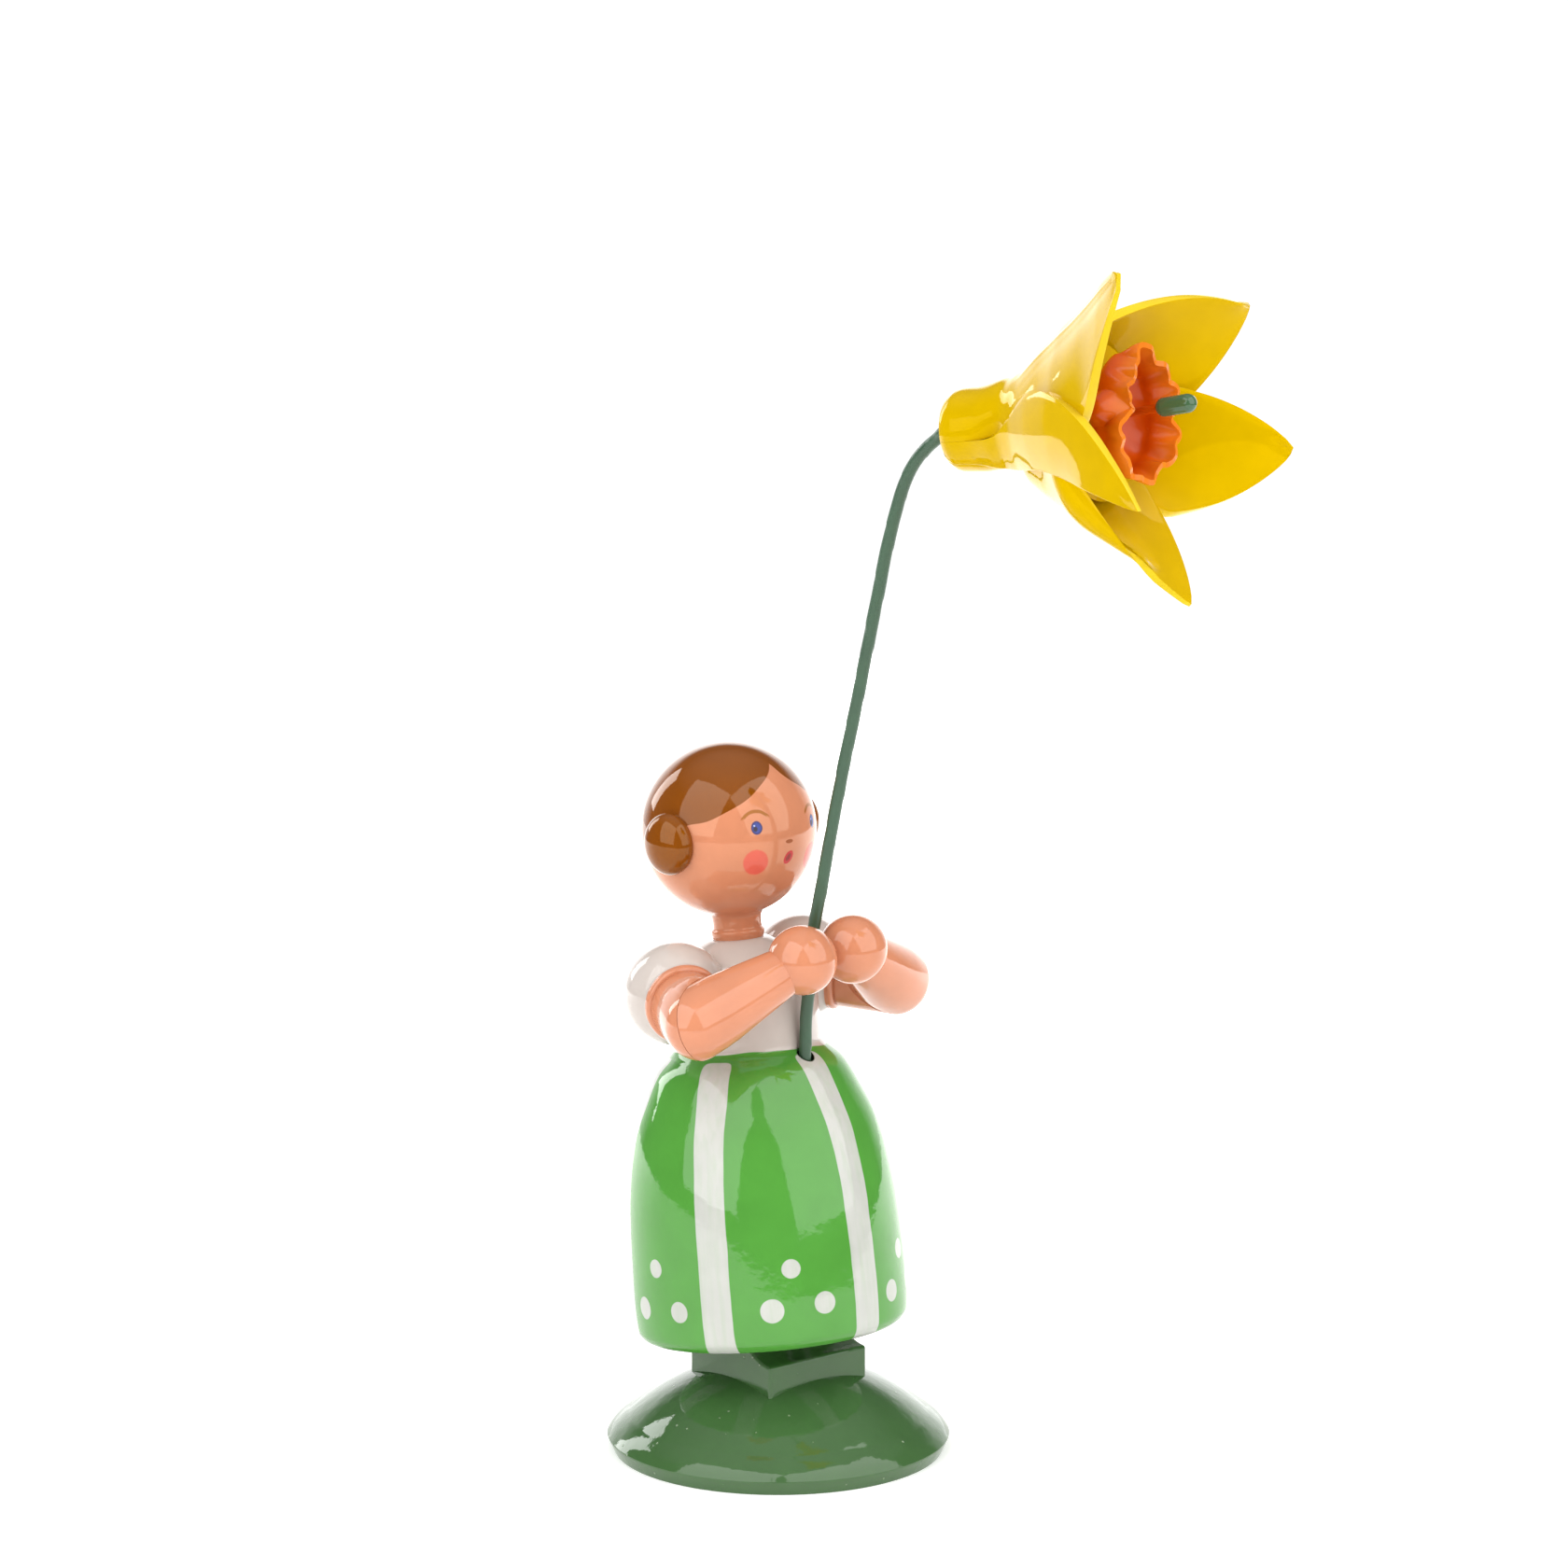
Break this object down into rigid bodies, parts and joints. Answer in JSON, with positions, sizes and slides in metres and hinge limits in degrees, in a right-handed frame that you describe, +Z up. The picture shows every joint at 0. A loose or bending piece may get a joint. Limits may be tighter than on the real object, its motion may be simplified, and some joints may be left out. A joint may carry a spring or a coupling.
{
  "type": "wooden figurine",
  "caption": "Turned and painted wooden figure on a round base, leaning back and holding up a tall wired yellow flower with both hands.",
  "frame": {"origin": "centre of the round base's flat underside", "axes": "+Z up, the figure faces -Y and its right hand is on the -X side"},
  "size_m": [0.0403, 0.0732, 0.1225],
  "materials": {
    "base_enamel": "dark green gloss enamel on turned wood",
    "block_enamel": "dark green gloss enamel on a sawn wood block",
    "bare_wood": "bare hardwood dowel, glued",
    "skirt_enamel": "grass green gloss enamel with white stripes and dots on turned wood",
    "skin_enamel": "skin coloured gloss enamel on turned wood",
    "hair_enamel": "brown gloss enamel on turned wood",
    "sleeve_enamel": "white gloss enamel on turned wood",
    "stem_tape": "steel wire wound with dull green tape",
    "petal_enamel": "yellow gloss enamel on thin carved wood",
    "corona_enamel": "orange moulded cup with a ruffled rim",
    "pistil_enamel": "green enamel bead on a thin wire"
  },
  "bodies": {
    "root": {"base_disc": "base_enamel", "shoe_block": "block_enamel", "leg_dowel": "bare_wood", "turned_body": "skirt_enamel", "head": "skin_enamel", "hair_bun_right": "hair_enamel", "hair_bun_left": "hair_enamel", "upper_arm_right": "sleeve_enamel", "upper_arm_left": "sleeve_enamel", "forearm_right": "skin_enamel", "forearm_left": "skin_enamel", "stem_wire": "stem_tape", "bloom_core": "petal_enamel", "petal_top_right": "petal_enamel", "petal_top_left": "petal_enamel", "petal_left": "petal_enamel", "petal_bottom": "petal_enamel", "petal_right": "petal_enamel", "corona": "corona_enamel", "pistil": "pistil_enamel"}
  },
  "joints": []
}
